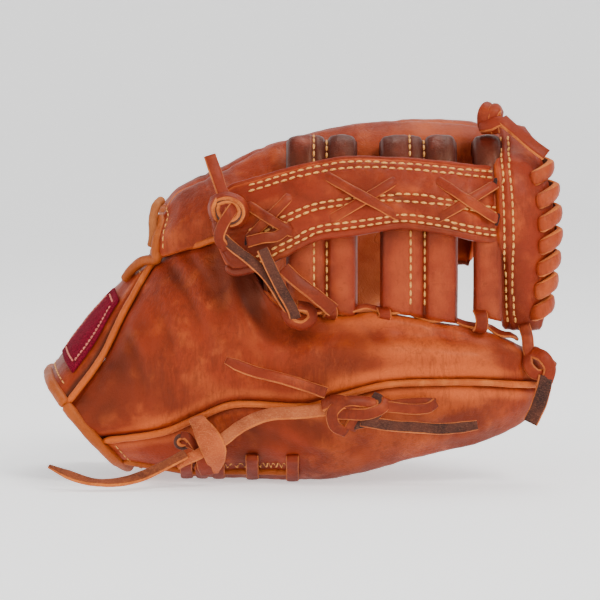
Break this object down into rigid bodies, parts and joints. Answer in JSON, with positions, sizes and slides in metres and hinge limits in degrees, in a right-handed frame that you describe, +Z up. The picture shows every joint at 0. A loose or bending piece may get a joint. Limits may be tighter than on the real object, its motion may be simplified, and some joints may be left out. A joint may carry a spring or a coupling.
{
  "type": "baseball glove",
  "caption": "Left-hand fielder's glove in oiled brown leather, laced cross-band web, open back, half closed and resting on its heel.",
  "frame": {"origin": "middle of the glove's footprint, at the surface its heel rests on", "axes": "+X to the fingertips, +Z up, -Y to the thumb and web side"},
  "size_m": [0.2892, 0.1843, 0.2112],
  "materials": {
    "shell_leather": "oiled cognac steerhide, worn to orange along the folds",
    "palm_leather": "smooth tan palm leather, darkened by use",
    "web_leather": "oiled red-brown leather with rolled edges",
    "lining_leather": "matte tan lining leather",
    "welt_leather": "orange-tan rolled welt",
    "binding_leather": "tan rolled edge binding",
    "lace_leather": "red-brown rawhide lace with pale cut edges",
    "suede_lace": "light tan suede lace",
    "label_cloth": "maroon felt patch with a stitched border, blank",
    "pad_felt": "wool felt",
    "thread": "waxed golden thread"
  },
  "bodies": {
    "hand": {"crotch_lace_ends": "lace_leather", "crotch_ring_lace": "lace_leather", "finger_walls": "lining_leather", "fingertip_lacing": "lace_leather", "hand_opening_binding": "binding_leather", "heel_knot": "suede_lace", "heel_lace_tail": "suede_lace", "heel_lacing": "lace_leather", "heel_wrap_lace": "suede_lace", "index_back_panel": "shell_leather", "index_lining": "lining_leather", "index_middle_welt": "welt_leather", "index_thumb_welt": "welt_leather", "label_patch": "label_cloth", "middle_back_panel": "shell_leather", "middle_lining": "lining_leather", "middle_ring_welt": "welt_leather", "palm_centre_panel": "palm_leather", "palm_corner_panel": "palm_leather", "palm_heel_panel": "shell_leather", "palm_lining": "lining_leather", "pinky_heel_pad": "pad_felt", "pinky_heel_panel": "shell_leather", "pinky_heel_welt": "welt_leather", "ring_base_panel": "shell_leather", "ring_heel_welt": "welt_leather", "strap_front_binding": "binding_leather", "strap_welt": "welt_leather", "thumb_base_panel": "shell_leather", "thumb_base_welt": "welt_leather", "thumb_heel_pad": "pad_felt", "top_lace": "lace_leather", "web_band_1": "web_leather", "web_band_2": "web_leather", "web_band_3": "web_leather", "web_cross_laces": "lace_leather", "web_spine_strap": "web_leather", "web_thumb_lacing": "lace_leather", "web_tip_lacing": "lace_leather", "web_tip_piece": "web_leather", "wrist_binding": "binding_leather", "wrist_strap": "shell_leather"},
    "thumb": {"palm_thumb_panel": "palm_leather", "thumb_back_panel": "shell_leather", "thumb_lace_knot": "lace_leather", "thumb_lace_run": "lace_leather", "thumb_lace_tail_1": "lace_leather", "thumb_lace_tail_2": "lace_leather", "thumb_lining": "lining_leather", "thumb_tip_knot": "lace_leather", "thumb_welt": "welt_leather"},
    "outer_fingers": {"outer_finger_wall": "lining_leather", "palm_outer_panel": "palm_leather", "pinky_back_panel": "shell_leather", "pinky_lining": "lining_leather", "pinky_welt": "welt_leather", "ring_back_panel": "shell_leather", "ring_lining": "lining_leather", "ring_pinky_welt": "welt_leather"}
  },
  "joints": [
    {"name": "thumb_close", "type": "hinge", "parent": "hand", "child": "thumb", "pos_m": [-0.0477, -0.02905, 0.06072], "axis": [0, 0, 1], "range_deg": [-4, 9]},
    {"name": "outer_fingers_curl", "type": "hinge", "parent": "hand", "child": "outer_fingers", "pos_m": [0.0273, 0.03345, 0.14872], "axis": [-1, 0, 0], "range_deg": [-2, 7]}
  ]
}
